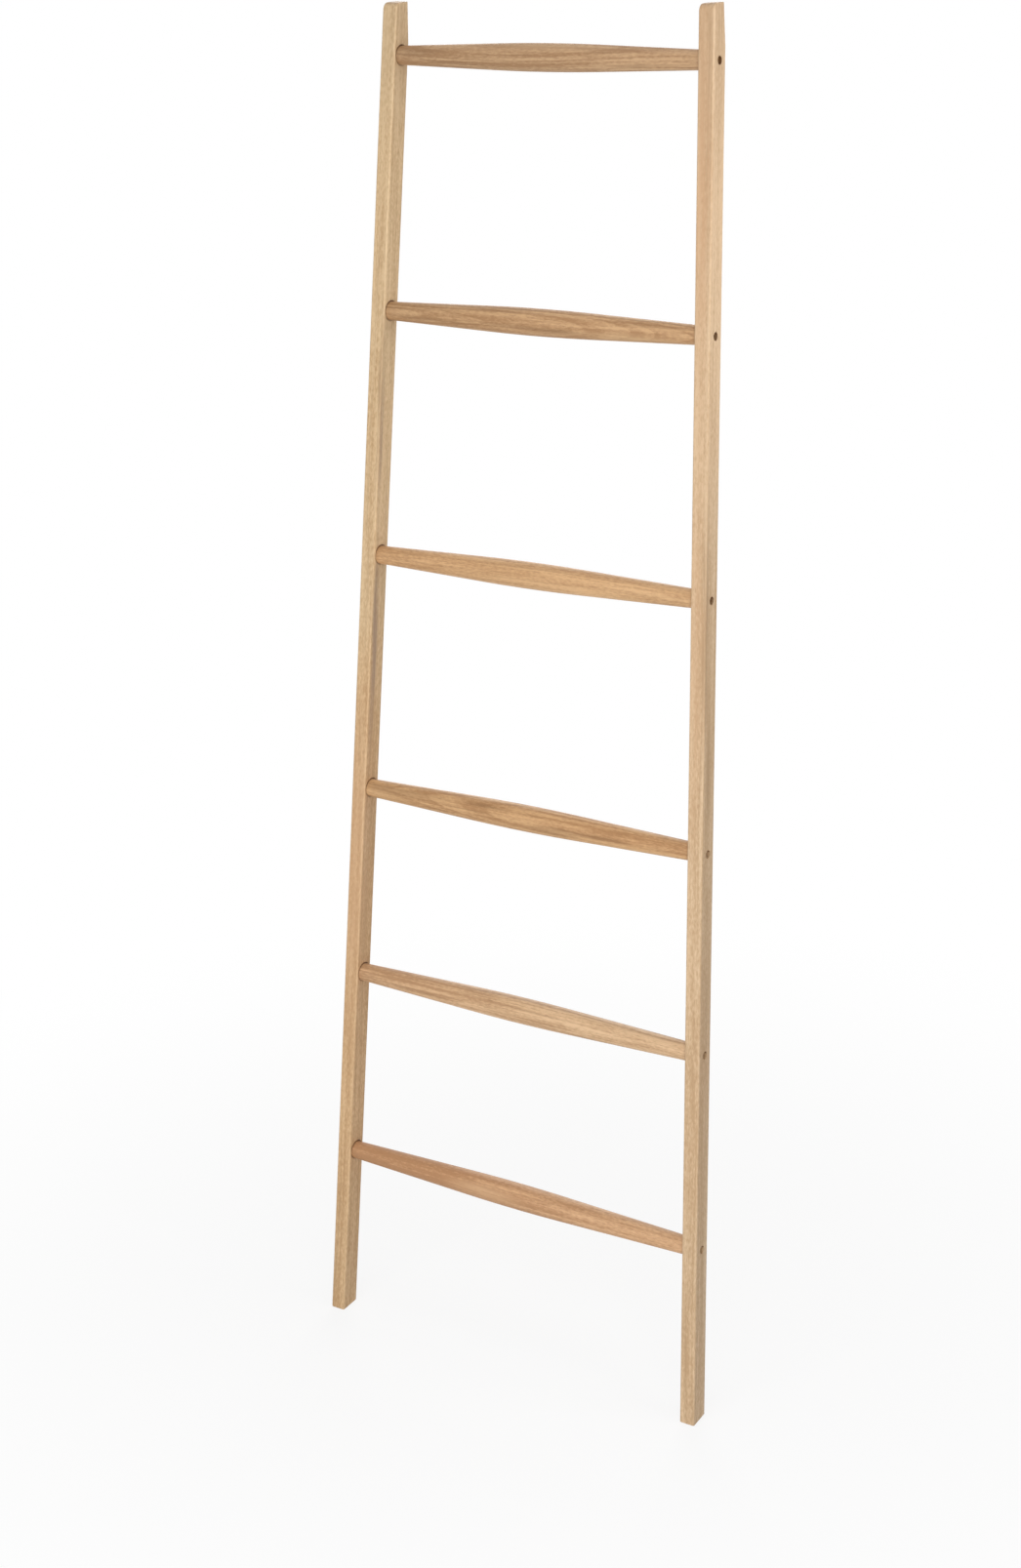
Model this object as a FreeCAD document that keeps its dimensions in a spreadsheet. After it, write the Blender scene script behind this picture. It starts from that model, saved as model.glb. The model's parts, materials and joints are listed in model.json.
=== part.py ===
import FreeCAD, Part
import os
import Sketcher

# A towel ladder that leans on a wall: two rails, six turned rungs, and a bolt with
# its threaded insert at each rung end.
# Every piece is drawn in the ladder's own frame: X across, Y from the front faces towards
# the wall, Z up along the front faces. Then it leans about the floor line of those faces.
# The finished part stands with its origin on the floor, in the middle of its width and depth.

doc = FreeCAD.newDocument("TowelLadder")
sizes = doc.addObject("Spreadsheet::Sheet", "Sizes")

# Driving sizes in millimetres
DRIVING_SIZES = (
    ("height_overall", "1705", "floor to top, as it leans"),
    ("depth_overall", "210", "front of the feet to the wall"),
    ("foot_spread", "550", "over the rails at the floor"),
    ("top_spread", "442", "over the rails at the top"),
    ("rail_width", "20", "rail seen from the front"),
    ("rail_depth", "30", "rail seen from the side"),
    ("arris_radius", "2.2", "easing of the rail's long edges"),
    ("top_round", "9", "rounding of the rail's front top edge"),
    ("wall_flat", "48", "height of the cut that lies on the wall"),
    ("foot_round", "1", "easing round the foot"),
    ("first_rung", "230", "floor to the lowest rung, along the rail"),
    ("top_drop", "61", "top of the rail to the highest rung, along the rail"),
    ("gap_step", "54", "by how much an upper gap is wider than a lower one"),
    ("rung_middle", "33", "rung diameter in the middle"),
    ("rung_end", "22.8", "rung diameter at the rails"),
    ("crown_half", "70", "half length of the rung's rounded middle"),
    ("socket_diameter", "24", "hole for the rung end"),
    ("socket_depth", "7", "how far the rung end goes in"),
    ("bolt_diameter", "5", "bolt shank"),
    ("bolt_length", "25", "bolt under its head"),
    ("head_diameter", "8.5", "bolt head"),
    ("head_height", "5", "bolt head"),
    ("head_round", "0.5", "easing of the head's rim"),
    ("head_recess", "2.5", "bolt head below the rail's outer face"),
    ("hex_key", "4", "hexagon across flats"),
    ("hex_depth", "2.5", "depth of the hexagon"),
    ("tip_chamfer", "0.8", "bolt tip"),
    ("insert_diameter", "9", "threaded insert"),
    ("insert_length", "16", "threaded insert"),
    ("head_clearance", "0.7", "round the bolt head"),
    ("bolt_clearance", "0.3", "round the shank in wood"),
    ("thread_clearance", "0.1", "round the shank in the insert"),
    ("insert_clearance", "0.1", "round the insert"),
    ("tip_room", "4", "bore past the bolt tip"),
)

# The gap under each rung above the lowest one
RUNG_GAPS = ("lower_gap", "lower_gap", "upper_gap", "upper_gap", "upper_gap")
UPPER_GAPS = RUNG_GAPS.count("upper_gap")
RUNGS = range(1, len(RUNG_GAPS) + 2)

# Sizes worked out from the driving ones
DERIVED_SIZES = [
    ("wall_rise", "height_overall - wall_flat"),
    ("lean", "acos(rail_depth / sqrt(depth_overall ^ 2 + wall_rise ^ 2)) - atan(wall_rise / depth_overall)"),
    ("rail_run", "height_overall / cos(lean)"),
    ("rail_middle", "rail_depth / 2"),
    ("splay", "(foot_spread - top_spread) / 2 / rail_run"),
    ("tilt", "atan(splay)"),
    ("half_foot_spread", "foot_spread / 2"),
    ("rail_across", "rail_width / cos(tilt)"),
    ("top_length", "rail_run / cos(tilt)"),
    ("wall_corner_depth", "depth_overall * cos(lean) - height_overall * sin(lean)"),
    ("wall_corner_length", "(depth_overall * sin(lean) + height_overall * cos(lean)) / cos(tilt)"),
    ("wall_start_length", "(depth_overall - rail_depth * cos(lean)) / sin(lean) / cos(tilt)"),
    ("depth_behind", "2 * rail_depth"),
    ("floor_in_front", "rail_depth * tan(lean)"),
    ("floor_behind", "depth_behind * tan(lean)"),
    ("lower_gap", f"(rail_run - top_drop - first_rung - {UPPER_GAPS} * gap_step) / {len(RUNG_GAPS)}"),
    ("upper_gap", "lower_gap + gap_step"),
    ("rung_middle_radius", "rung_middle / 2"),
    ("rung_end_radius", "rung_end / 2"),
    ("socket_radius", "socket_diameter / 2"),
    ("socket_floor", "rail_across - socket_depth"),
    ("past_rail", "2 * rail_width"),
    ("bolt_radius", "bolt_diameter / 2"),
    ("bolt_hole_radius", "bolt_radius + bolt_clearance"),
    ("head_radius", "head_diameter / 2"),
    ("head_hole_radius", "head_radius + head_clearance"),
    ("head_hole_depth", "head_height + head_recess"),
    ("hex_corner_radius", "hex_key / sqrt(3)"),
    ("insert_radius", "insert_diameter / 2"),
    ("insert_bore_radius", "insert_radius + insert_clearance"),
    ("thread_radius", "bolt_radius + thread_clearance"),
    ("tip_bore_depth", "bolt_length - (socket_floor - head_hole_depth) + tip_room"),
]
for rung in RUNGS:
    run = "first_rung" if rung == 1 else f"rung_{rung - 1}_run + {RUNG_GAPS[rung - 2]}"
    swell = "(rung_middle_radius - rung_end_radius)"
    DERIVED_SIZES += [
        (f"rung_{rung}_run", run),
        (f"rung_{rung}_outer", f"half_foot_spread - splay * rung_{rung}_run"),
        (f"rung_{rung}_shoulder", f"rung_{rung}_outer - rail_across"),
        (f"rung_{rung}_tip", f"rung_{rung}_outer - socket_floor"),
        (f"rung_{rung}_seat", f"rung_{rung}_outer - head_hole_depth"),
        (f"rung_{rung}_taper", f"{swell} / (rung_{rung}_shoulder - crown_half / 2)"),
        (f"rung_{rung}_crown", f"rung_middle_radius - rung_{rung}_taper * crown_half / 2"),
    ]

cells = list(DRIVING_SIZES)
cells += [(alias, f"={formula}", "worked out") for alias, formula in DERIVED_SIZES]
for row, (alias, text, note) in enumerate(cells, start=1):
    sizes.set(f"A{row}", alias)
    sizes.set(f"B{row}", text)
    sizes.set(f"C{row}", note)
    sizes.setAlias(f"B{row}", alias)
doc.recompute()


def number(alias):
    """The value of a cell, negative where its name has a minus sign, and zero for no name."""
    if alias is None:
        return 0
    cell = sizes.get(alias.lstrip("-"))
    value = getattr(cell, "Value", cell)
    return -value if alias.startswith("-") else value


def new_body(label):
    body = doc.addObject("PartDesign::Body", label)
    body.Label = label
    return body


def origin_plane(body, role):
    return next(item for item in body.Origin.OriginFeatures if item.Role == role)


def new_sketch(body, name, role):
    """A sketch on one of the body's own origin planes."""
    sketch = body.newObject("Sketcher::SketchObject", name)
    sketch.AttachmentSupport = [(origin_plane(body, role), "")]
    sketch.MapMode = "FlatFace"
    return sketch


def bind(sketch, kind, places, alias):
    """A dimension of a sketch that follows a cell of the sheet."""
    index = sketch.addConstraint(Sketcher.Constraint(kind, *places, number(alias)))
    sketch.setExpression(f"Constraints[{index}]", f"Sizes.{alias}")


def tie_corner(sketch, line, direction, alias):
    """Holds the start of a line at a cell's distance from the sketch's origin."""
    origin = (-1, 1)
    corner = (line, 1)
    if alias is None:
        axis = -2 if direction == "X" else -1
        sketch.addConstraint(Sketcher.Constraint("PointOnObject", *corner, axis))
    elif alias.startswith("-"):
        bind(sketch, f"Distance{direction}", (*corner, *origin), alias.lstrip("-"))
    else:
        bind(sketch, f"Distance{direction}", (*origin, *corner), alias)


def closed_outline(sketch, corners):
    """A closed outline of straight lines. Each corner names the cells of its two coordinates."""
    points = [FreeCAD.Vector(number(across), number(up), 0) for across, up in corners]
    first = sketch.GeometryCount
    for start, end in zip(points, points[1:] + points[:1]):
        sketch.addGeometry(Part.LineSegment(start, end))
    for index, (across, up) in enumerate(corners):
        following = first + (index + 1) % len(corners)
        sketch.addConstraint(Sketcher.Constraint("Coincident", first + index, 2, following, 1))
        tie_corner(sketch, first + index, "X", across)
        tie_corner(sketch, first + index, "Y", up)


def stepped_outline(sketch, start, steps):
    """Half the outline of a stepped round form along the sketch's horizontal axis."""
    corners = [(start, None)]
    for radius, end in steps:
        corners += [(start, radius), (end, radius)]
        start = end
    closed_outline(sketch, corners + [(start, None)])


FULL_TURN = 360


def turned(body, name, kind, sketch):
    """Turns a half outline about the sketch's horizontal axis, to add or to cut."""
    feature = body.newObject(f"PartDesign::{kind}", name)
    feature.Profile = sketch
    feature.ReferenceAxis = (sketch, ["H_Axis"])
    feature.Angle = FULL_TURN
    return feature


def eased(body, name, kind, alias, wanted):
    """Rounds or chamfers the edges of the body so far that pass a test."""
    doc.recompute()
    base = body.Tip
    edges = enumerate(base.Shape.Edges, start=1)
    names = [f"Edge{index}" for index, edge in edges if wanted(edge)]
    feature = body.newObject(f"PartDesign::{kind}", name)
    feature.Base = (base, names)
    feature.setExpression("Radius" if kind == "Fillet" else "Size", f"Sizes.{alias}")


def leaned(piece, across=None, behind=None, along=None):
    """Puts a piece at its place in the ladder, and leans it with the ladder."""
    x, y, z = (f"Sizes.{alias}" if alias else "0" for alias in (across, behind, along))
    piece.Placement.Rotation = FreeCAD.Rotation(FreeCAD.Vector(-1, 0, 0), number("lean"))
    piece.setExpression("Placement.Rotation.Angle", "Sizes.lean")
    piece.setExpression("Placement.Base.x", x)
    piece.setExpression(
        "Placement.Base.y", f"{y} * cos(Sizes.lean) + {z} * sin(Sizes.lean) - Sizes.depth_overall / 2"
    )
    piece.setExpression("Placement.Base.z", f"{z} * cos(Sizes.lean) - {y} * sin(Sizes.lean)")
    return piece


def mirrored(piece, label):
    """The left-hand twin of a right-hand piece."""
    twin = doc.addObject("Part::Mirroring", label)
    twin.Label = label
    twin.Source = piece
    twin.Normal = FreeCAD.Vector(1, 0, 0)
    return twin


# Two points this close are taken as one when edges are picked
SAME_PLACE = 0.001


def ends_of(edge):
    return [vertex.Point for vertex in edge.Vertexes]


def in_rail_side(edge):
    """True for an edge in the rail's inner or outer face."""
    splay = number("splay")
    offsets = [point.x + splay * point.z for point in ends_of(edge)]
    return abs(offsets[0] - offsets[-1]) < SAME_PLACE


def above_floor(edge):
    return max(point.z for point in ends_of(edge)) > 0


def on_floor(edge):
    lean = FreeCAD.Rotation(FreeCAD.Vector(-1, 0, 0), number("lean"))
    return all(abs(lean.multVec(point).z) < SAME_PLACE for point in ends_of(edge))


def on_front(edge):
    return all(abs(point.y) < SAME_PLACE for point in ends_of(edge))


def build_rail(label):
    """A bar that tilts towards its twin, cut off level at the top and upright on the wall."""
    body = new_body(label)

    # The side view, drawn on the outer face and run on below the floor
    side = new_sketch(body, f"{label}_side", "YZ_Plane")
    side.AttachmentOffset.Rotation = FreeCAD.Rotation(FreeCAD.Vector(-1, 0, 0), number("tilt"))
    side.setExpression("AttachmentOffset.Rotation.Angle", "Sizes.tilt")
    side.setExpression("AttachmentOffset.Base.z", "Sizes.half_foot_spread")
    closed_outline(side, [
        (None, "-rail_depth"),
        ("rail_depth", "-rail_depth"),
        ("rail_depth", "wall_start_length"),
        ("wall_corner_depth", "wall_corner_length"),
        (None, "top_length"),
    ])
    bar = body.newObject("PartDesign::Pad", f"{label}_bar")
    bar.Profile = side
    bar.Reversed = True
    bar.setExpression("Length", "Sizes.rail_width")
    eased(body, f"{label}_top_round", "Fillet", "top_round",
          lambda edge: on_front(edge) and above_floor(edge) and not in_rail_side(edge))
    eased(body, f"{label}_arrises", "Fillet", "arris_radius",
          lambda edge: in_rail_side(edge) and above_floor(edge))

    # The foot is cut off along the floor
    waste = new_sketch(body, f"{label}_waste", "YZ_Plane")
    closed_outline(waste, [
        ("-rail_depth", "-floor_in_front"),
        ("-rail_depth", "-depth_behind"),
        ("depth_behind", "-depth_behind"),
        ("depth_behind", "floor_behind"),
    ])
    foot = body.newObject("PartDesign::Pocket", f"{label}_foot")
    foot.Profile = waste
    foot.Type = "ThroughAll"
    foot.SideType = "Symmetric"
    eased(body, f"{label}_foot_round", "Fillet", "foot_round", on_floor)

    # At each rung, a hole for the bolt head, one for its shank, and the rung's socket
    for rung in RUNGS:
        bore = new_sketch(body, f"{label}_bore_{rung}", "XZ_Plane")
        bore.setExpression("AttachmentOffset.Base.x", f"Sizes.rung_{rung}_outer")
        bore.setExpression("AttachmentOffset.Base.y", f"Sizes.rung_{rung}_run")
        bore.setExpression("AttachmentOffset.Base.z", "-Sizes.rail_middle")
        stepped_outline(bore, "rail_width", [
            ("head_hole_radius", "-head_hole_depth"),
            ("bolt_hole_radius", "-socket_floor"),
            ("socket_radius", "-past_rail"),
        ])
        turned(body, f"{label}_holes_{rung}", "Groove", bore)
    return leaned(body)


def build_rung(rung):
    """A turned spindle with a rounded middle and straight tapers down to its ends."""
    label = f"rung_{rung}"
    body = new_body(label)
    shoulder, tip, crown = (f"{label}_{place}" for place in ("shoulder", "tip", "crown"))

    outline = new_sketch(body, f"{label}_outline", "XY_Plane")
    closed_outline(outline, [
        (f"-{tip}", None),
        (f"-{tip}", "rung_end_radius"),
        (f"-{shoulder}", "rung_end_radius"),
        ("-crown_half", crown),
        ("crown_half", crown),
        (shoulder, "rung_end_radius"),
        (tip, "rung_end_radius"),
        (tip, None),
    ])
    # The crown's arc takes the place of the straight line between the two tapers
    left_taper, chord, right_taper = 2, 3, 4
    crown_points = [
        FreeCAD.Vector(number(across), number(up), 0)
        for across, up in (("-crown_half", crown), (None, "rung_middle_radius"), ("crown_half", crown))
    ]
    arc = outline.addGeometry(Part.Arc(*crown_points))
    outline.toggleConstruction(chord)
    outline.addConstraint(Sketcher.Constraint("Tangent", left_taper, 2, arc, 2))
    outline.addConstraint(Sketcher.Constraint("Coincident", right_taper, 1, arc, 1))
    turned(body, f"{label}_spindle", "Revolution", outline)

    # In each end, a bore for the insert and a deeper one for the bolt's tip
    bore = new_sketch(body, f"{label}_bore", "XY_Plane")
    bore.setExpression("AttachmentOffset.Base.x", f"Sizes.{tip}")
    stepped_outline(bore, "insert_length", [
        ("insert_bore_radius", "-insert_length"),
        ("bolt_hole_radius", "-tip_bore_depth"),
    ])
    right_bore = turned(body, f"{label}_right_bore", "Groove", bore)
    both_bores = body.newObject("PartDesign::Mirrored", f"{label}_both_bores")
    both_bores.Originals = [right_bore]
    both_bores.MirrorPlane = (origin_plane(body, "YZ_Plane"), [""])
    body.Tip = both_bores
    return leaned(body, behind="rail_middle", along=f"{label}_run")


HEXAGON_SIDES = 6


def hexagon_outline(sketch, corner_radius):
    """A regular hexagon round the sketch's origin, with a corner on the horizontal axis."""
    corner = FreeCAD.Vector(number(corner_radius), 0, 0)
    step = FreeCAD.Rotation(FreeCAD.Vector(0, 0, 1), FULL_TURN / HEXAGON_SIDES)
    for side in range(HEXAGON_SIDES):
        following = step.multVec(corner)
        sketch.addGeometry(Part.LineSegment(corner, following))
        corner = following
    ring = sketch.addGeometry(Part.Circle(), True)
    sketch.addConstraint(Sketcher.Constraint("Coincident", ring, 3, -1, 1))
    bind(sketch, "Radius", (ring,), corner_radius)
    for side in range(HEXAGON_SIDES):
        following = (side + 1) % HEXAGON_SIDES
        sketch.addConstraint(Sketcher.Constraint("Coincident", side, 2, following, 1))
        sketch.addConstraint(Sketcher.Constraint("PointOnObject", side, 1, ring))
    for side in range(1, HEXAGON_SIDES):
        sketch.addConstraint(Sketcher.Constraint("Equal", 0, side))
    sketch.addConstraint(Sketcher.Constraint("PointOnObject", 0, 1, -1))


def build_bolt(label, rung):
    """A cap-head bolt that points inwards, with its origin under the head."""
    body = new_body(label)
    outline = new_sketch(body, f"{label}_outline", "XY_Plane")
    stepped_outline(outline, "-bolt_length", [("bolt_radius", None), ("head_radius", "head_height")])
    turned(body, f"{label}_turning", "Revolution", outline)

    def rim_at(alias):
        place = number(alias)
        return lambda edge: all(abs(point.x - place) < SAME_PLACE for point in ends_of(edge))

    eased(body, f"{label}_rim", "Fillet", "head_round", rim_at("head_height"))
    eased(body, f"{label}_tip", "Chamfer", "tip_chamfer", rim_at("-bolt_length"))

    hexagon = new_sketch(body, f"{label}_hexagon", "YZ_Plane")
    hexagon.setExpression("AttachmentOffset.Base.z", "Sizes.head_height")
    hexagon_outline(hexagon, "hex_corner_radius")
    drive = body.newObject("PartDesign::Pocket", f"{label}_drive")
    drive.Profile = hexagon
    drive.setExpression("Length", "Sizes.hex_depth")
    return leaned(body, across=f"rung_{rung}_seat", behind="rail_middle", along=f"rung_{rung}_run")


def build_insert(label, rung):
    """A threaded sleeve, flush with the rung's end."""
    body = new_body(label)
    outline = new_sketch(body, f"{label}_outline", "XY_Plane")
    closed_outline(outline, [
        ("-insert_length", "thread_radius"),
        (None, "thread_radius"),
        (None, "insert_radius"),
        ("-insert_length", "insert_radius"),
    ])
    turned(body, f"{label}_sleeve", "Revolution", outline)
    return leaned(body, across=f"rung_{rung}_tip", behind="rail_middle", along=f"rung_{rung}_run")


pieces = [build_rail("right_rail")]
pieces.append(mirrored(pieces[0], "left_rail"))
for rung in RUNGS:
    right_bolt = build_bolt(f"right_bolt_{rung}", rung)
    right_insert = build_insert(f"right_insert_{rung}", rung)
    pieces += [
        build_rung(rung),
        right_bolt,
        right_insert,
        mirrored(right_bolt, f"left_bolt_{rung}"),
        mirrored(right_insert, f"left_insert_{rung}"),
    ]
doc.recompute()

for item in doc.Objects:
    if "Invalid" in item.State or "Error" in item.State:
        raise RuntimeError(f"{item.Label} failed: {item.State}")
    cuts = item.TypeId in ("PartDesign::Pocket", "PartDesign::Groove")
    if cuts and item.Shape.Volume >= item.BaseFeature.Shape.Volume:
        raise RuntimeError(f"{item.Label} cuts nothing")
for piece in pieces:
    if piece.Shape.isNull() or not piece.Shape.isValid() or len(piece.Shape.Solids) != 1:
        raise RuntimeError(f"{piece.Label} isn't one sound solid")

os.makedirs("parts", exist_ok=True)
for piece in pieces:
    piece.Shape.exportStep(f"parts/{piece.Label}.step")
print(f"{len(pieces)} pieces written")
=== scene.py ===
import json
import math

import bmesh
import bpy
from mathutils import Matrix, Vector


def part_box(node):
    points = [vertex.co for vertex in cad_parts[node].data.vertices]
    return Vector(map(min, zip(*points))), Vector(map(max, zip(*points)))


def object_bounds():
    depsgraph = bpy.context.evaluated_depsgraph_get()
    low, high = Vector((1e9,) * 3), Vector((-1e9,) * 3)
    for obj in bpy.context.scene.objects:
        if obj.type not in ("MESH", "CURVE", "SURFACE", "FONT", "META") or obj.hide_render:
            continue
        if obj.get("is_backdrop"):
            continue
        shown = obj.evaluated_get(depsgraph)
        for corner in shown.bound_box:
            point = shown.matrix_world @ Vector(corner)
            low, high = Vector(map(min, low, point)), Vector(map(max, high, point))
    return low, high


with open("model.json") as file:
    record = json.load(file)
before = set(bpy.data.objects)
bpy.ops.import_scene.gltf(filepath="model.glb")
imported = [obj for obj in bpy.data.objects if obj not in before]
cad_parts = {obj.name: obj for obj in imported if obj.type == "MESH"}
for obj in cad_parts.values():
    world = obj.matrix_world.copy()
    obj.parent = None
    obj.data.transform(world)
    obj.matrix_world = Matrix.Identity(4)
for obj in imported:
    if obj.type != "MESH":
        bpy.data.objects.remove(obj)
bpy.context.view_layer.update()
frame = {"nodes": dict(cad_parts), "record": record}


# Rails
# Two straight bars of a pale oiled hardwood, sawn to 20 by 30 mm and planed, with their long edges eased.
# They lean on the wall together, and each one tilts towards its twin, so the grain runs on that slope.

LEAN = math.radians(6.194)
TILT = math.radians(1.804)
RAIL_HALF_WIDTH = 0.010
RAIL_HALF_DEPTH = 0.015


def place_node(tree, kind, sockets=None, **settings):
    """Adds a shader node. Each socket gets a value, or a link from another node's output."""
    made = tree.nodes.new(kind)
    for name, value in settings.items():
        setattr(made, name, value)
    for socket, value in (sockets or {}).items():
        if isinstance(value, bpy.types.NodeSocket):
            tree.links.new(value, made.inputs[socket])
        else:
            made.inputs[socket].default_value = value
    return made


def calc(tree, operation, *values):
    """The result of a Math node."""
    return place_node(tree, "ShaderNodeMath", dict(enumerate(values)), operation=operation).outputs[0]


def move(tree, operation, *values):
    """The result of a Vector Math node."""
    made = place_node(tree, "ShaderNodeVectorMath", dict(enumerate(values)), operation=operation)
    return made.outputs["Value" if operation in ("LENGTH", "DOT_PRODUCT") else "Vector"]


def ramp(tree, value, low, high, to_low=0.0, to_high=1.0):
    """Goes smoothly from one level to another while a value goes from low to high."""
    sockets = {"Value": value, "From Min": low, "From Max": high, "To Min": to_low, "To Max": to_high}
    return place_node(tree, "ShaderNodeMapRange", sockets, interpolation_type="SMOOTHSTEP").outputs[0]


def blend(tree, share, first, second, how="MIX"):
    """The colour of a Mix node."""
    sockets = {0: share, 6: first, 7: second}
    return place_node(tree, "ShaderNodeMix", sockets, data_type="RGBA", blend_type=how).outputs[2]


def within_one(tree, value):
    """A value kept between zero and one."""
    return calc(tree, "MAXIMUM", 0.0, calc(tree, "MINIMUM", 1.0, value))


def new_group(name, inputs, outputs):
    """An empty shader node group with named sockets, and what goes into it."""
    made = bpy.data.node_groups.new(name, "ShaderNodeTree")
    for way, sockets in (("INPUT", inputs), ("OUTPUT", outputs)):
        for kind, socket_names in sockets.items():
            for socket in socket_names:
                made.interface.new_socket(socket, in_out=way, socket_type=f"NodeSocket{kind}")
    return made, made.nodes.new("NodeGroupInput").outputs


def use_group(tree, group, **values):
    """Places a node group, with its inputs by their names, and gives what comes out of it."""
    sockets = {name.replace("_", " ").capitalize(): value for name, value in values.items()}
    return place_node(tree, "ShaderNodeGroup", sockets, node_tree=group).outputs


# The middle level of a noise, as a number and as a colour, and the directions across the grain
NOISE_MIDDLE = 0.5
NOISE_CENTRE = (NOISE_MIDDLE, NOISE_MIDDLE, NOISE_MIDDLE)
CROSSWISE = (1, 1, 0)


def grain_noise(tree, place, marks):
    """Noise drawn out along the grain."""
    across, along, detail = marks
    stretched = move(tree, "MULTIPLY", place, (across, across, along))
    return place_node(tree, "ShaderNodeTexNoise", {"Vector": stretched, "Scale": 1.0, "Detail": detail})


def add_share(tree, noise, strength, level):
    """Raises or lowers a level by how far a noise is from its middle."""
    return calc(tree, "MULTIPLY_ADD", calc(tree, "SUBTRACT", noise, NOISE_MIDDLE), strength, level)


# Marks per metre across the grain and along it, and how finely each kind breaks up
DRIFT_MARKS = (15, 2.4, 2.0)
FIBRE_MARKS = (220, 7, 3.0)
FLECK_MARKS = (520, 170, 4.0)
HAIR_MARKS = (1700, 60, 2.0)
PATCH_MARKS = (24, 2.2, 2.0)
BLUSH_MARKS = (11, 2.3, 1.0)
PORE_MARKS = (1350, 90, 1.0)
STRIPE_MARKS = (150, 2.2, 3.0)

# How unevenly the growth layers follow each other, and where late wood comes and ends within each layer.
# A fade is two or four numbers: where it starts and ends, and its levels there, or else zero and one.
LAYER_NOISE_SCALE = 0.43
LAYER_NOISE_DETAIL = 2.0
LAYER_UNEVENNESS = 2.6
LATE_WOOD_COMES = (0.25, 0.9)
LATE_WOOD_ENDS = (0.92, 1.0, 1.0, 0.0)
LATE_WOOD_MEAN = 0.35

# The noise levels at which pores and streaks show
PORE_FADE = (0.62, 0.74)
STRIPE_FADE = (0.55, 0.72)

# The plain tone, where a higher one is browner, and the plain roughness, with how far the marks change
# them, the rosiness and the height of the surface
MIDDLE_TONE = 0.45
PATCH_STRENGTH = 1.0
HAIR_STRENGTH = 0.4
BLUSH_STRENGTH = 1.2
ROSY = (1.0, 0.92, 0.865, 1)
PORE_DARKNESS = 0.35
PALE_ROUGHNESS = 0.48
BROWN_ROUGHENING = 0.1
PORE_ROUGHENING = 0.15
PORE_RISE = -1.0
HAIR_RISE = 0.6
FIBRE_RISE = 0.5

wood_grain, given = new_group(
    "wood_grain",
    {
        "Vector": ("Place", "Cut from", "Heart"),
        "Color": ("Pale", "Brown", "Streak"),
        "Float": ("Ring width", "Wander", "Heart lean", "Figure", "Fibres", "Flecks", "Streaks",
                  "Rosiness", "Shade"),
    },
    {"Color": ("Color",), "Float": ("Roughness", "Height")},
)
spot = move(wood_grain, "ADD", given["Place"], given["Cut from"])

# The growth layers are tubes round the tree's heart, which wanders and may lean along the piece
drift = grain_noise(wood_grain, spot, DRIFT_MARKS).outputs["Color"]
drift = move(wood_grain, "MULTIPLY", move(wood_grain, "SUBTRACT", drift, NOISE_CENTRE), CROSSWISE)
drift = move(wood_grain, "MULTIPLY", drift, given["Wander"])
wandered = move(wood_grain, "ADD", given["Place"], drift)
heart_along = place_node(wood_grain, "ShaderNodeSeparateXYZ", {0: given["Place"]}).outputs["Z"]
heart_aside = calc(wood_grain, "MULTIPLY", heart_along, given["Heart lean"])
leaned = place_node(wood_grain, "ShaderNodeCombineXYZ", {"X": heart_aside}).outputs[0]
heart = move(wood_grain, "ADD", given["Heart"], leaned)
from_heart = move(wood_grain, "MULTIPLY", move(wood_grain, "SUBTRACT", wandered, heart), CROSSWISE)
layer = calc(wood_grain, "DIVIDE", move(wood_grain, "LENGTH", from_heart), given["Ring width"])
uneven = place_node(
    wood_grain, "ShaderNodeTexNoise",
    {"W": layer, "Scale": LAYER_NOISE_SCALE, "Detail": LAYER_NOISE_DETAIL},
    noise_dimensions="1D",
).outputs[0]
layer = calc(wood_grain, "MULTIPLY_ADD", uneven, LAYER_UNEVENNESS, layer)
through_layer = calc(wood_grain, "FRACT", layer)
late_wood = calc(wood_grain, "MULTIPLY", ramp(wood_grain, through_layer, *LATE_WOOD_COMES),
                 ramp(wood_grain, through_layer, *LATE_WOOD_ENDS))

# Fibres, flecks, hairs, pores and streaks lie along the grain, and wide patches change tone and rosiness
cut_place = move(wood_grain, "ADD", wandered, given["Cut from"])
fibre = grain_noise(wood_grain, cut_place, FIBRE_MARKS).outputs[0]
fleck = grain_noise(wood_grain, cut_place, FLECK_MARKS).outputs[0]
hair = grain_noise(wood_grain, cut_place, HAIR_MARKS).outputs[0]
patch = grain_noise(wood_grain, spot, PATCH_MARKS).outputs[0]
pore = ramp(wood_grain, grain_noise(wood_grain, cut_place, PORE_MARKS).outputs[0], *PORE_FADE)
stripe = ramp(wood_grain, grain_noise(wood_grain, cut_place, STRIPE_MARKS).outputs[0], *STRIPE_FADE)
blush = grain_noise(wood_grain, spot, BLUSH_MARKS).outputs[0]
blush = within_one(wood_grain, add_share(wood_grain, blush, BLUSH_STRENGTH, given["Rosiness"]))

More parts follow.
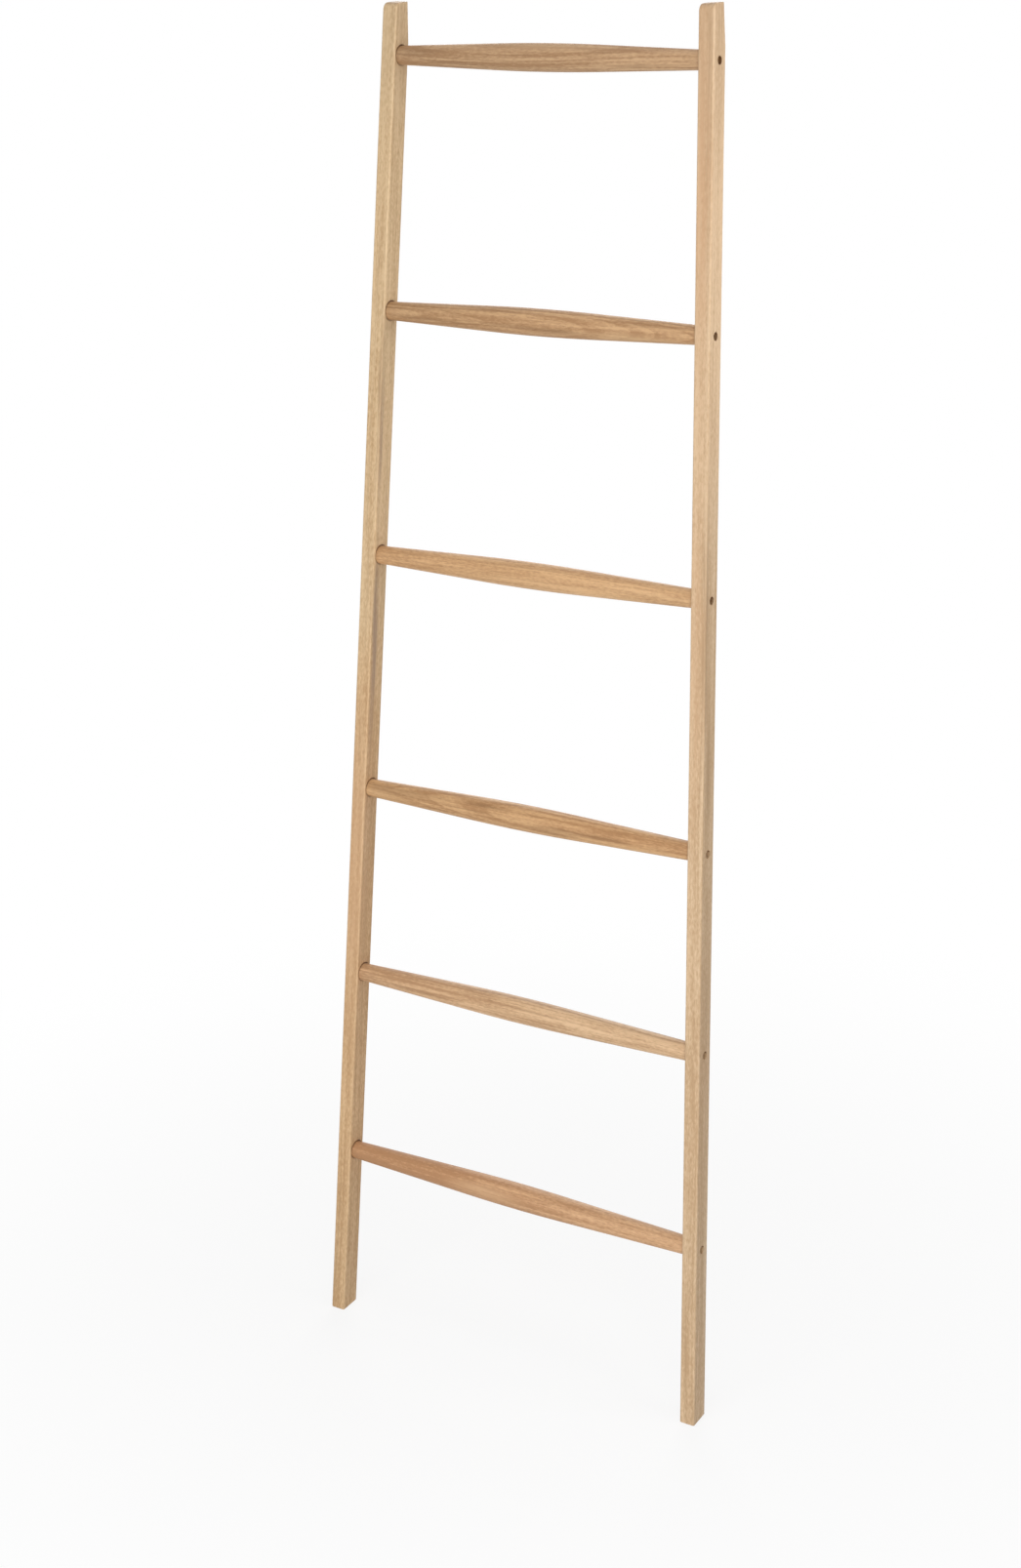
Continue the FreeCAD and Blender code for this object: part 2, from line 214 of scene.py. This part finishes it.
tone = calc(wood_grain, "ADD", given["Shade"], MIDDLE_TONE)
tone = add_share(wood_grain, fibre, given["Fibres"], tone)
tone = add_share(wood_grain, patch, PATCH_STRENGTH, tone)
tone = add_share(wood_grain, fleck, given["Flecks"], tone)
tone = add_share(wood_grain, hair, HAIR_STRENGTH, tone)
ring_share = calc(wood_grain, "SUBTRACT", late_wood, LATE_WOOD_MEAN)
ring_share = calc(wood_grain, "MULTIPLY", ring_share, given["Figure"])
tone = within_one(wood_grain, calc(wood_grain, "ADD", tone, ring_share))
stripe_share = calc(wood_grain, "MULTIPLY", stripe, given["Streaks"])
pore_share = calc(wood_grain, "MULTIPLY", pore, PORE_DARKNESS)
colour = blend(wood_grain, tone, given["Pale"], given["Brown"])
colour = blend(wood_grain, blush, colour, ROSY, "MULTIPLY")
colour = blend(wood_grain, stripe_share, colour, given["Streak"])
colour = blend(wood_grain, pore_share, colour, given["Streak"])
rough = calc(wood_grain, "MULTIPLY_ADD", tone, BROWN_ROUGHENING, PALE_ROUGHNESS)
rough = calc(wood_grain, "MULTIPLY_ADD", pore, PORE_ROUGHENING, rough)
height = calc(wood_grain, "MULTIPLY_ADD", pore, PORE_RISE, calc(wood_grain, "MULTIPLY", hair, HAIR_RISE))
height = calc(wood_grain, "MULTIPLY_ADD", fibre, FIBRE_RISE, height)
place_node(wood_grain, "NodeGroupOutput", {"Color": colour, "Roughness": rough, "Height": height})

# A vein is a long, thin stretch of other wood that bends a little and frays into the fibres at its sides
VEIN_DRIFT = (0.009, 0.009, 0)
BEND_MARKS = (30, 11, 2.0)
FRAY_MARKS = (420, 9, 3.0)
VEIN_FADE = (0.1, 1.0, 1.0, 0.0)
FRAY_FADE = (0.3, 0.6, 0.4, 1.0)
vein_group, given = new_group("vein", {"Vector": ("Place", "Middle", "Reach")}, {"Float": ("Share",)})
vein_drift = grain_noise(vein_group, given["Place"], BEND_MARKS).outputs["Color"]
vein_drift = move(vein_group, "SUBTRACT", vein_drift, NOISE_CENTRE)
vein_place = move(vein_group, "MULTIPLY_ADD", vein_drift, VEIN_DRIFT, given["Place"])
vein_place = move(vein_group, "SUBTRACT", vein_place, given["Middle"])
from_vein = move(vein_group, "LENGTH", move(vein_group, "DIVIDE", vein_place, given["Reach"]))
frayed = grain_noise(vein_group, given["Place"], FRAY_MARKS).outputs[0]
vein_share = calc(vein_group, "MULTIPLY", ramp(vein_group, from_vein, *VEIN_FADE),
                  ramp(vein_group, frayed, *FRAY_FADE))
place_node(vein_group, "NodeGroupOutput", {"Share": vein_share})

# The eased edges get a painted highlight and are smoother, more in some places than in others
EDGE_FADE = (0.0006, 0.0026, 1.0, 0.0)
PATCHY_MARKS = (30, 11, 3.0)
PATCHY_FADE = (0.35, 0.65, 0.3, 1.0)
EDGE_HIGHLIGHT = 0.25
EDGE_SMOOTHING = -0.12
edge_highlight_group, given = new_group(
    "painted_edge_highlight", {"Vector": ("Place",), "Float": ("Half width", "Half depth")}, {"Float": ("Share",)}
)
sides = place_node(edge_highlight_group, "ShaderNodeSeparateXYZ", {0: given["Place"]}).outputs
near_edge = []
for side, half in ((sides["X"], given["Half width"]), (sides["Y"], given["Half depth"])):
    inset = calc(edge_highlight_group, "SUBTRACT", half, calc(edge_highlight_group, "ABSOLUTE", side))
    near_edge.append(ramp(edge_highlight_group, inset, *EDGE_FADE))
patchy = grain_noise(edge_highlight_group, given["Place"], PATCHY_MARKS).outputs[0]
patchy = ramp(edge_highlight_group, patchy, *PATCHY_FADE)
edge_highlight_share = calc(edge_highlight_group, "MULTIPLY", calc(edge_highlight_group, "MULTIPLY", *near_edge), patchy)
place_node(edge_highlight_group, "NodeGroupOutput", {"Share": edge_highlight_share})

# Painted shade in a bored hole: its walls are darkened where shade falls inside it, all round or mostly
# at the top
BORE_SHADE = (0.12, 0.042, 0.007, 1)
BORE_SHADE_TOP_FADE = (0.0, 0.6)
BORE_SHADE_FADE = (1.0, 1.1, 1.0, 0.0)
bore_shade_group, given = new_group(
    "painted_bore_shade",
    {"Vector": ("Place", "Middle", "Reach"), "Float": ("Lower share",)},
    {"Float": ("Share",)},
)
from_bore = move(bore_shade_group, "SUBTRACT", given["Place"], given["Middle"])
from_bore = move(bore_shade_group, "DIVIDE", from_bore, given["Reach"])
above_bore = place_node(bore_shade_group, "ShaderNodeSeparateXYZ", {0: from_bore}).outputs["Z"]
shaded_top = ramp(bore_shade_group, above_bore, *BORE_SHADE_TOP_FADE, given["Lower share"], 1.0)
in_bore = ramp(bore_shade_group, move(bore_shade_group, "LENGTH", from_bore), *BORE_SHADE_FADE)
place_node(bore_shade_group, "NodeGroupOutput", {"Share": calc(bore_shade_group, "MULTIPLY", shaded_top, in_bore)})

# End grain drinks more oil, and the oil leaves a low shine over the open grain
END_GRAIN_FADE = (0.6, 0.95)
END_GRAIN_DARKNESS = 0.45
GRAIN_BUMP = 0.35
GRAIN_DEPTH = 0.0003
OIL_SHINE = 0.35


def wood_material(
    name, middle, turn, rosiness, shade, veins=(), edges=None, bore_shades=(), joints=None, **grain
):
    """Oiled wood whose grain runs along a piece: middle is a point on its axis, turn its slope.

    Rosiness, shade and the painted shadow of a rail are fades along the piece.
    """
    made = bpy.data.materials.new(name)
    made.use_nodes = True
    tree = made.node_tree
    shader = tree.nodes["Principled BSDF"]
    coordinates = tree.nodes.new("ShaderNodeTexCoord").outputs
    placed = place_node(
        tree, "ShaderNodeMapping",
        {"Vector": coordinates["Object"], "Location": middle, "Rotation": turn.to_euler()},
        vector_type="TEXTURE",
    ).outputs[0]
    along = place_node(tree, "ShaderNodeSeparateXYZ", {0: placed}).outputs["Z"]
    cut = use_group(tree, wood_grain, place=placed, rosiness=ramp(tree, along, *rosiness),
                    shade=ramp(tree, along, *shade), **grain)
    colour = cut["Color"]
    rough = cut["Roughness"]
    for vein_middle, reach, strength, vein_colour in veins:
        share = use_group(tree, vein_group, place=placed, middle=vein_middle, reach=reach)["Share"]
        colour = blend(tree, calc(tree, "MULTIPLY", share, strength), colour, vein_colour)
    if edges:
        half_width, half_depth = edges
        edge_lit = use_group(tree, edge_highlight_group, place=placed, half_width=half_width,
                           half_depth=half_depth)["Share"]
        # Painted highlight along the eased edges
        colour = blend(tree, calc(tree, "MULTIPLY", edge_lit, EDGE_HIGHLIGHT), colour, grain["pale"])
        rough = calc(tree, "MULTIPLY_ADD", edge_lit, EDGE_SMOOTHING, rough)
    # Painted shade in the bolt holes and in the sockets' mouths
    for bore_middle, reach, lower_share in bore_shades:
        share = use_group(tree, bore_shade_group, place=coordinates["Object"], middle=bore_middle,
                          reach=reach, lower_share=lower_share)["Share"]
        colour = blend(tree, share, colour, BORE_SHADE)
    if joints:
        # Painted shadow where the rail falls across the piece's end
        colour = blend(tree, ramp(tree, along, *joints), colour, grain["streak"])
    axis = turn @ Vector((0, 0, 1))
    facing_end = calc(tree, "ABSOLUTE", move(tree, "DOT_PRODUCT", coordinates["Normal"], axis))
    end_grain = calc(tree, "MULTIPLY", ramp(tree, facing_end, *END_GRAIN_FADE), END_GRAIN_DARKNESS)
    colour = blend(tree, end_grain, colour, grain["streak"])
    bump = place_node(
        tree, "ShaderNodeBump",
        {"Strength": GRAIN_BUMP, "Distance": GRAIN_DEPTH, "Height": cut["Height"]},
    )
    tree.links.new(colour, shader.inputs["Base Color"])
    tree.links.new(rough, shader.inputs["Roughness"])
    tree.links.new(bump.outputs[0], shader.inputs["Normal"])
    shader.inputs["Specular IOR Level"].default_value = OIL_SHINE
    return made


def dress(node, material):
    """Gives a solid of the frame its finish."""
    materials = frame["nodes"][node].data.materials
    materials.clear()
    materials.append(material)


# How far the painted shade reaches from the middle of a bolt hole and of a socket's mouth, a socket's
# depth, and how much painted shade the lower half of each has, for the bolt holes from the lowest rung to
# the top one
BOLT_HOLE_SHADE_REACH = (0.05, 0.0051, 0.0051)
BOLT_HOLE_LOWER_SHADES = (0.1, 0.1, 0.15, 0.6, 0.7, 0.9)
SOCKET_SHADE_REACH = (0.0125, 0.0125, 0.0125)
SOCKET_DEPTH = 0.007
SOCKET_LOWER_SHADE = 0.35


def rail_wood(side, sign, **wood):
    """The wood of one rail, on the slope that the rail has."""
    foot = next(mount for mount in frame["record"]["mounts"] if mount["name"] == f"{side}_foot")
    slope = Matrix.Rotation(-LEAN, 3, "X") @ Matrix.Rotation(-sign * TILT, 3, "Y")
    bore_shades = []
    # Painted shade in each bolt hole and each socket's mouth, less in the lower halves of the lower holes
    for rung, lower_share in enumerate(BOLT_HOLE_LOWER_SHADES, start=1):
        low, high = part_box(f"{side}_bolt_{rung}")
        bore_shades.append(((low + high) / 2, BOLT_HOLE_SHADE_REACH, lower_share))
        low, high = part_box(f"rung_{rung}")
        mouth = (low + high) / 2
        mouth.x = sign * ((high.x - low.x) / 2 - SOCKET_DEPTH)
        bore_shades.append((mouth, SOCKET_SHADE_REACH, SOCKET_LOWER_SHADE))
    return wood_material(
        f"{side}_rail_wood", foot["pos_m"], slope, edges=(RAIL_HALF_WIDTH, RAIL_HALF_DEPTH), bore_shades=bore_shades,
        ring_width=0.0055, wander=0.016, figure=0.3, fibres=1.6, flecks=2.3, streaks=0.3, **wood,
    )


# Each vein has its middle, its reach from there, its strength and its colour
VEIN_GREY = (0.32, 0.21, 0.145, 1)
VEIN_BROWN = (0.36, 0.23, 0.125, 1)
VEIN_ROSE = (0.56, 0.335, 0.185, 1)

dress("left_rail", rail_wood(
    "left", -1, cut_from=(-0.6, 0.2, 0.1), heart=(0.03, -0.045, 0),
    pale=(0.672, 0.497, 0.296, 1), brown=(0.463, 0.301, 0.154, 1), streak=(0.30, 0.18, 0.09, 1),
    rosiness=(0.75, 1.0, 0.9, 0.2), shade=(0.8, 1.1, 0.15, -0.2),
    veins=(
        ((0.010, -0.007, 0.92), (0.010, 0.008, 0.20), 0.95, VEIN_GREY),
        ((0.010, -0.010, 1.19), (0.007, 0.006, 0.11), 0.8, VEIN_GREY),
        ((0.0085, -0.015, 1.24), (0.005, 0.005, 0.18), 0.8, VEIN_BROWN),
        ((0.000, -0.015, 0.62), (0.030, 0.030, 0.36), 0.55, VEIN_ROSE),
        # Painted shade: this broad vein darkens the top of the rail all round
        ((0.000, 0.000, 1.70), (0.030, 0.030, 0.22), 0.55, VEIN_BROWN),
    ),
))
dress("right_rail", rail_wood(
    "right", 1, cut_from=(1.2, 0.2, 0.1), heart=(-0.05, 0.035, 0),
    pale=(0.642, 0.472, 0.299, 1), brown=(0.473, 0.315, 0.177, 1), streak=(0.30, 0.18, 0.09, 1),
    rosiness=(0.9, 1.55, 0.2, 0.5), shade=(0.95, 1.2, 0.12, -0.2),
    veins=(
        ((0.010, -0.013, 1.01), (0.009, 0.007, 0.22), 0.9, VEIN_BROWN),
        ((0.010, -0.003, 0.83), (0.009, 0.010, 0.09), 0.8, VEIN_BROWN),
        ((-0.002, -0.015, 0.98), (0.015, 0.012, 0.34), 0.45, VEIN_ROSE),
        ((-0.002, -0.015, 1.54), (0.015, 0.012, 0.38), 0.75, VEIN_ROSE),
        # Painted shade: this broad vein darkens the top of the rail all round
        ((0.005, 0.000, 1.72), (0.030, 0.030, 0.28), 0.55, VEIN_BROWN),
    ),
))


# Rungs
# Six turned spindles of browner boards of the same wood, swelling to the middle and oiled like the rails.
# Each end goes into a round socket with a little play, and the bolt through the rail pulls it tight.

RUNG_PALE = Vector((0.586, 0.38, 0.211, 1))
RUNG_BROWN = Vector((0.374, 0.215, 0.106, 1))
RUNG_STREAK = Vector((0.20, 0.105, 0.047, 1))
RUNG_HEART = (0.036, 0, 0)

# Each rung is cut this much further on in the wood, across its grain and along it, so no two match
BOARD_STEP_ACROSS = 0.7
BOARD_STEP_ALONG = 0.5
BOARD_LEVEL = 0.4

# Rosiness and shade change between the two places this far from a rung's middle
TONE_REACH = 0.2

# A board with more figure has stronger fibres too
PLAIN_FIBRES = 1.4
FIGURED_FIBRES = 2.6

# Painted shadow of the right rail across each rung's right end, where it goes into its socket
RAIL_SHADOW_CLEAR = 0.014
RAIL_SHADOW_DARK = 0.007
RAIL_SHADOW_SHARE = 0.25

# Each rung is from its own board: its tint, the angle of the heart round its axis and the heart's lean,
# its figure and streaks, and the rosiness and shade of its left and right ends
# Every rung has a higher shade at its left end, so it is browner there: partly its board's own tone,
# partly painted shade for light that falls off towards the left
RUNG_BOARDS = (
    ((1.11, 1.09, 1.11), 160, 0.00, 0.20, 0.20, (1.1, 0.4), (0.65, -0.10)),
    ((1.12, 1.18, 1.26), 175, 0.00, 0.35, 0.30, (0.9, 0.0), (0.20, -0.15)),
    ((1.02, 0.99, 0.90), 60, 0.04, 0.50, 0.50, (0.1, 0.7), (0.05, -0.10)),
    ((1.08, 1.07, 1.01), 130, 0.00, 0.20, 0.20, (0.7, 0.4), (0.05, -0.10)),
    ((0.98, 0.99, 0.96), 95, -0.05, 0.45, 0.35, (0.6, 0.8), (0.18, 0.10)),
    ((0.92, 0.95, 0.97), 20, 0.00, 0.40, 0.40, (0.6, 0.7), (0.25, -0.05)),
)

# Veins and pale stretches in some of the boards: how far each is from the rung's middle, how many degrees
# up from its front, its thickness, its reach along the rung, its strength and its colour
RUNG_VEINS = {
    1: (
        (-0.04, 8, 0.016, 0.08, 0.6, RUNG_PALE),
    ),
    3: (
        (0.10, -2, 0.005, 0.12, 0.6, RUNG_STREAK),
        (-0.054, 43, 0.005, 0.05, 0.5, RUNG_STREAK),
        (0.17, -45, 0.012, 0.12, 0.8, RUNG_PALE),
        (-0.22, -5, 0.018, 0.08, 0.4, RUNG_PALE),
        (-0.18, 27, 0.008, 0.12, 0.5, RUNG_STREAK),
        (0.04, -15, 0.008, 0.06, 0.5, RUNG_STREAK),
    ),
    5: (
        (-0.154, -19, 0.005, 0.09, 0.6, RUNG_STREAK),
        (-0.18, 32, 0.005, 0.07, 0.5, RUNG_STREAK),
        (0.17, 36, 0.005, 0.09, 0.4, RUNG_STREAK),
        (0.13, -32, 0.010, 0.09, 0.8, RUNG_PALE),
        (0.03, -30, 0.008, 0.06, 0.5, RUNG_STREAK),
    ),
    6: (
        (-0.19, 25, 0.009, 0.07, 0.6, RUNG_STREAK),
        (0.15, -28, 0.005, 0.10, 0.5, RUNG_STREAK),
        (0.00, 60, 0.010, 0.12, 0.5, RUNG_PALE),
    ),
}

# How far from the rung's axis the veins lie
VEIN_RADIUS = 0.015

for rung, board in enumerate(RUNG_BOARDS, start=1):
    tint, heart_angle, heart_lean, figure, streaks, rosiness, shade = board
    low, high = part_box(f"rung_{rung}")
    spin = Matrix.Rotation(math.radians(heart_angle), 3, "X") @ Matrix.Rotation(math.radians(90), 3, "Y")
    tinted = Vector((*tint, 1))
    half = (high.x - low.x) / 2
    veins = []
    for aside, rise, thickness, reach, strength, vein_colour in RUNG_VEINS.get(rung, ()):
        front = -VEIN_RADIUS * math.cos(math.radians(rise))
        height = VEIN_RADIUS * math.sin(math.radians(rise))
        vein_middle = spin.transposed() @ Vector((aside, front, height))
        veins.append((vein_middle, (thickness, thickness, reach), strength, vein_colour * tinted))
    dress(f"rung_{rung}", wood_material(
        f"rung_{rung}_wood", (low + high) / 2, spin, veins=veins,
        cut_from=(BOARD_STEP_ACROSS * rung, BOARD_LEVEL, BOARD_STEP_ALONG * rung),
        heart=RUNG_HEART, heart_lean=heart_lean,
        pale=RUNG_PALE * tinted, brown=RUNG_BROWN * tinted, streak=RUNG_STREAK * tinted,
        rosiness=(-TONE_REACH, TONE_REACH, *rosiness), shade=(-TONE_REACH, TONE_REACH, *shade),
        joints=(half - RAIL_SHADOW_CLEAR, half - RAIL_SHADOW_DARK, 0.0, RAIL_SHADOW_SHARE),
        ring_width=0.0042, wander=0.014, figure=figure, fibres=PLAIN_FIBRES + FIGURED_FIBRES * figure,
        flecks=1.7, streaks=streaks,
    ))


# Bolts
# Twelve browned steel cap bolts, one at each rung end, with their heads sunk in the rails' outer faces.
# The browning has rubbed off round the rims, and the lower bolts are painted paler all over, as painted
# light on their heads.

BOLT_BROWN = (0.17, 0.08, 0.022, 1)
BOLT_WORN_AND_LIT = (0.5, 0.34, 0.19, 1)
BOLT_METALLIC = 0.6
BOLT_AXIS = (1, 0, 0)

# Blotches per metre, how finely they break up, and the wear and roughness that follow them
BLOTCH_SCALE = 700.0
BLOTCH_DETAIL = 3.0
BLOTCH_WEAR = (0.5, 0.8)
BOLT_ROUGHNESS = (0.3, 0.7, 0.55, 0.35)

# A rim faces partly along the bolt, between its side and its flat end
RIM_COMES = (0.1, 0.5)
RIM_ENDS = (0.85, 0.99, 1.0, 0.0)

# The lower bolts are painted paler all over as painted light, which fades out between two heights in
# metres
LOW_BOLT_PAINTED_LIGHT = (0.8, 1.05, 0.85, 0.0)

METAL_BUMP = 0.2
METAL_BUMP_DEPTH = 0.0001

bolt_steel = bpy.data.materials.new("bolt_steel")
bolt_steel.use_nodes = True
steel_tree = bolt_steel.node_tree
steel_coordinates = steel_tree.nodes.new("ShaderNodeTexCoord").outputs
steel_blotch = place_node(
    steel_tree, "ShaderNodeTexNoise",
    {"Vector": steel_coordinates["Object"], "Scale": BLOTCH_SCALE, "Detail": BLOTCH_DETAIL},
).outputs[0]
along_bolt = move(steel_tree, "DOT_PRODUCT", steel_coordinates["Normal"], BOLT_AXIS)
along_bolt = calc(steel_tree, "ABSOLUTE", along_bolt)
bolt_rim = calc(steel_tree, "MULTIPLY", ramp(steel_tree, along_bolt, *RIM_COMES),
                ramp(steel_tree, along_bolt, *RIM_ENDS))
steel_wear_and_light = calc(steel_tree, "MAXIMUM", bolt_rim, ramp(steel_tree, steel_blotch, *BLOTCH_WEAR))
bolt_height = place_node(steel_tree, "ShaderNodeSeparateXYZ", {0: steel_coordinates["Object"]})
# Painted light: the lower bolt heads are made paler all over
low_painted_light = ramp(steel_tree, bolt_height.outputs["Z"], *LOW_BOLT_PAINTED_LIGHT)
steel_wear_and_light = calc(steel_tree, "MAXIMUM", steel_wear_and_light, low_painted_light)
steel_colour = blend(steel_tree, steel_wear_and_light, BOLT_BROWN, BOLT_WORN_AND_LIT)
steel_rough = ramp(steel_tree, steel_blotch, *BOLT_ROUGHNESS)
steel_bump = place_node(
    steel_tree, "ShaderNodeBump",
    {"Strength": METAL_BUMP, "Distance": METAL_BUMP_DEPTH, "Height": steel_blotch},
)
steel_shader = steel_tree.nodes["Principled BSDF"]
steel_shader.inputs["Metallic"].default_value = BOLT_METALLIC
steel_tree.links.new(steel_colour, steel_shader.inputs["Base Color"])
steel_tree.links.new(steel_rough, steel_shader.inputs["Roughness"])
steel_tree.links.new(steel_bump.outputs[0], steel_shader.inputs["Normal"])

RUNG_COUNT = len(RUNG_BOARDS)
for side in ("left", "right"):
    for rung in range(1, RUNG_COUNT + 1):
        dress(f"{side}_bolt_{rung}", bolt_steel)


# Inserts
# Twelve brass sleeves with an inner thread, screwed into the rung ends.
# They are hidden once the ladder is bolted together.

BRASS_BRIGHT = (0.72, 0.53, 0.24, 1)
BRASS_DULL = (0.45, 0.31, 0.13, 1)
BRASS_METALLIC = 1.0

# Stains per metre, how finely they break up, and the dulling and roughness that follow them
STAIN_SCALE = 260.0
STAIN_DETAIL = 4.0
STAIN_DULLING = (0.35, 0.7)
BRASS_ROUGHNESS = (0.3, 0.7, 0.25, 0.5)

insert_brass = bpy.data.materials.new("insert_brass")
insert_brass.use_nodes = True
brass_tree = insert_brass.node_tree
brass_place = brass_tree.nodes.new("ShaderNodeTexCoord").outputs["Object"]
brass_stain = place_node(
    brass_tree, "ShaderNodeTexNoise",
    {"Vector": brass_place, "Scale": STAIN_SCALE, "Detail": STAIN_DETAIL},
).outputs[0]
brass_dulled = ramp(brass_tree, brass_stain, *STAIN_DULLING)
brass_colour = blend(brass_tree, brass_dulled, BRASS_BRIGHT, BRASS_DULL)
brass_rough = ramp(brass_tree, brass_stain, *BRASS_ROUGHNESS)
brass_bump = place_node(
    brass_tree, "ShaderNodeBump",
    {"Strength": METAL_BUMP, "Distance": METAL_BUMP_DEPTH, "Height": brass_stain},
)
brass_shader = brass_tree.nodes["Principled BSDF"]
brass_shader.inputs["Metallic"].default_value = BRASS_METALLIC
brass_tree.links.new(brass_colour, brass_shader.inputs["Base Color"])
brass_tree.links.new(brass_rough, brass_shader.inputs["Roughness"])
brass_tree.links.new(brass_bump.outputs[0], brass_shader.inputs["Normal"])

for side in ("left", "right"):
    for rung in range(1, RUNG_COUNT + 1):
        dress(f"{side}_insert_{rung}", insert_brass)


# Studio
# A wide white floor that runs into a white surround, with soft boxes in front, above, behind
# and high on the right, and a camera in front and to the right, a little above the ladder's top.

FLOOR_HALF = 9.0
FLOOR_PALE = (0.80, 0.80, 0.80, 1)
FLOOR_ROUGHNESS = 0.9
WHITE = (1, 1, 1, 1)

# The floor shows this share of its shading near the ladder, and plain white further away
SHADOW_NEAR = 0.2
SHADOW_FAR = 1.4
SHADOW_SHARE = 0.18

# How brightly the surround lights the ladder
AMBIENT = 0.29

floor_mesh = bpy.data.meshes.new("floor")
floor_shape = bmesh.new()
bmesh.ops.create_grid(floor_shape, x_segments=1, y_segments=1, size=FLOOR_HALF)
floor_shape.to_mesh(floor_mesh)
floor_shape.free()
floor = bpy.data.objects.new("floor", floor_mesh)
bpy.context.scene.collection.objects.link(floor)
floor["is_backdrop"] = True


def in_view(tree):
    """One for the rays that show the surround itself, and zero for those that light the ladder."""
    ray = tree.nodes.new("ShaderNodeLightPath").outputs
    mirrored = calc(tree, "MAXIMUM", ray["Is Glossy Ray"], ray["Is Transmission Ray"])
    return calc(tree, "MAXIMUM", ray["Is Camera Ray"], mirrored)


floor_white = bpy.data.materials.new("floor_white")
floor_white.use_nodes = True
floor_mesh.materials.append(floor_white)
floor_tree = floor_white.node_tree
floor_shader = floor_tree.nodes["Principled BSDF"]
floor_shader.inputs["Base Color"].default_value = FLOOR_PALE
floor_shader.inputs["Roughness"].default_value = FLOOR_ROUGHNESS
floor_shader.inputs["Specular IOR Level"].default_value = 0.0
floor_glow = place_node(floor_tree, "ShaderNodeEmission", {"Color": WHITE, "Strength": 1.0})
floor_place = floor_tree.nodes.new("ShaderNodeTexCoord").outputs["Object"]
from_middle = move(floor_tree, "LENGTH", floor_place)
whitened = ramp(floor_tree, from_middle, SHADOW_NEAR, SHADOW_FAR, 1 - SHADOW_SHARE, 1.0)
whitened = calc(floor_tree, "MULTIPLY", whitened, in_view(floor_tree))
floor_above = place_node(floor_tree, "ShaderNodeMixShader",
                         {0: whitened, 1: floor_shader.outputs[0], 2: floor_glow.outputs[0]})
from_below = floor_tree.nodes.new("ShaderNodeNewGeometry").outputs["Backfacing"]
see_through = floor_tree.nodes.new("ShaderNodeBsdfTransparent")
floor_look = place_node(floor_tree, "ShaderNodeMixShader",
                        {0: from_below, 1: floor_above.outputs[0], 2: see_through.outputs[0]})
floor_tree.links.new(floor_look.outputs[0], floor_tree.nodes["Material Output"].inputs["Surface"])

surround = bpy.data.worlds.new("surround")
surround.use_nodes = True
bpy.context.scene.world = surround
surround_tree = surround.node_tree
surround_light = surround_tree.nodes["Background"].inputs
surround_light["Color"].default_value = WHITE
surround_strength = ramp(surround_tree, in_view(surround_tree), 0.0, 1.0, AMBIENT, 1.0)
surround_tree.links.new(surround_strength, surround_light["Strength"])


def soft_box(name, width, height, watts, place, aim):
    """An area light that points at a spot and isn't seen itself."""
    lamp = bpy.data.lights.new(name, "AREA")
    lamp.shape = "RECTANGLE"
    lamp.size = width
    lamp.size_y = height
    lamp.energy = watts
    made = bpy.data.objects.new(name, lamp)
    made.location = place
    made.rotation_euler = (Vector(aim) - Vector(place)).to_track_quat("-Z", "Y").to_euler()
    made.visible_camera = False
    bpy.context.scene.collection.objects.link(made)


soft_box("front_box", width=2.4, height=2.6, watts=36, place=(0.48, -1.6, 0.98), aim=(0.05, 0, 0.9))
soft_box("right_box", width=0.7, height=0.7, watts=7.5, place=(1.2, 0.1, 1.7), aim=(0.2, 0.05, 1.5))
soft_box("top_box", width=2.0, height=2.0, watts=22, place=(0.1, -0.2, 3.6), aim=(0, 0, 0.9))
soft_box("back_box", width=2.0, height=2.4, watts=36, place=(-1.1, 2.4, 1.8), aim=(0, 0, 0.9))

# The camera's place in metres, its turns in radians, and its lens in pixels of the photograph's frame
CAMERA_PLACE = (1.45767, -2.38798, 1.86050)
CAMERA_YAW = 0.55415
CAMERA_PITCH = 0.30538
CAMERA_ROLL = -0.03205
PHOTO_HEIGHT = 1607
FOCAL_PIXELS = 2478.09
HORIZON_SHIFT = -163.5
SENSOR_MILLIMETRES = 36

lens = bpy.data.cameras.new("camera")
lens.sensor_width = SENSOR_MILLIMETRES
lens.lens = FOCAL_PIXELS / PHOTO_HEIGHT * SENSOR_MILLIMETRES
lens.shift_y = HORIZON_SHIFT / PHOTO_HEIGHT
camera = bpy.data.objects.new("camera", lens)
turned = Matrix.Rotation(CAMERA_YAW, 4, "Z") @ Matrix.Rotation(math.pi / 2 - CAMERA_PITCH, 4, "X")
camera.matrix_world = Matrix.Translation(CAMERA_PLACE) @ turned @ Matrix.Rotation(CAMERA_ROLL, 4, "Z")
bpy.context.scene.collection.objects.link(camera)
bpy.context.scene.camera = camera
bpy.context.scene.view_settings.view_transform = "Standard"

low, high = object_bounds()
